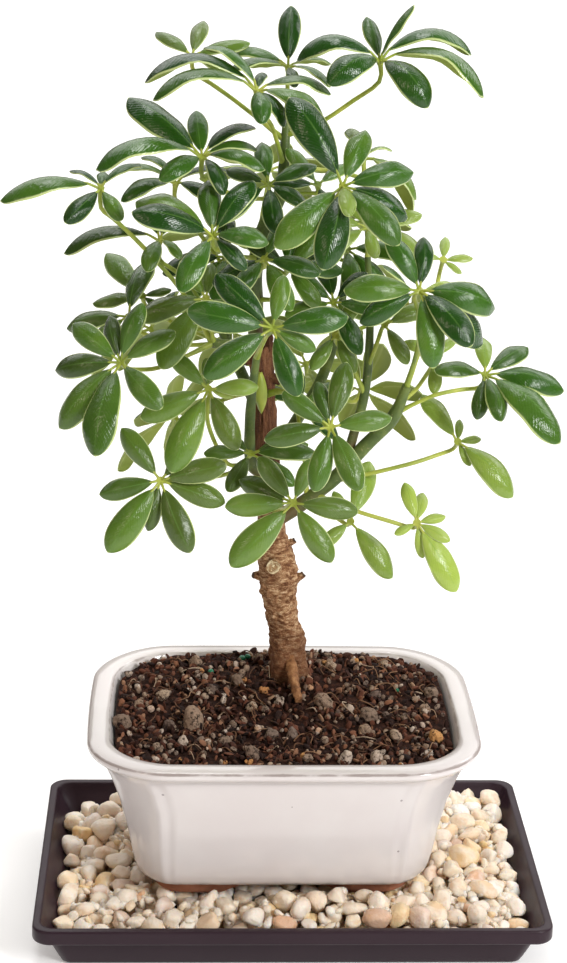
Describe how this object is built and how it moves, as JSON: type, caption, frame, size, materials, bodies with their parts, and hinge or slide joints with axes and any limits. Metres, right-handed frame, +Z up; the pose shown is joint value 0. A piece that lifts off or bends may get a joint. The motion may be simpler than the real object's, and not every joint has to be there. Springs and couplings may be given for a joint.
{
  "type": "potted bonsai tree",
  "caption": "Dwarf umbrella tree bonsai with whorled glossy leaves on a bare trunk, in a rectangular glazed pot on a pebble-filled humidity tray.",
  "frame": {"origin": "centre of the tray's underside, on the surface that it stands on", "axes": "+Z up, front of the tree toward -Y, +X to the right as seen from the front"},
  "size_m": [0.217, 0.1523, 0.3639],
  "materials": {
    "tray_plastic": "moulded, dark brown-purple, semi-matte",
    "river_pebble": "tumbled cream and honey river pebbles",
    "white_glaze": "glossy off-white glaze with fine iron specks, bare terracotta feet",
    "screen_plastic": "moulded mesh",
    "bonsai_soil": "loose mix of bark, pumice and grit",
    "bark": "rough ring-scarred bark",
    "umbrella_leaf": "glossy leathery leaf"
  },
  "bodies": {
    "root": {"tray": "tray_plastic", "pebble_bed": "river_pebble", "pot": "white_glaze", "drain_screen_left": "screen_plastic", "drain_screen_right": "screen_plastic", "soil": "bonsai_soil", "trunk": "bark", "leader": "umbrella_leaf", "left_stem": "umbrella_leaf", "front_stem": "umbrella_leaf", "right_branch": "umbrella_leaf", "low_front_leaf": "umbrella_leaf", "middle_leaf": "umbrella_leaf", "back_left_stem": "umbrella_leaf", "back_right_stem": "umbrella_leaf"}
  },
  "joints": []
}
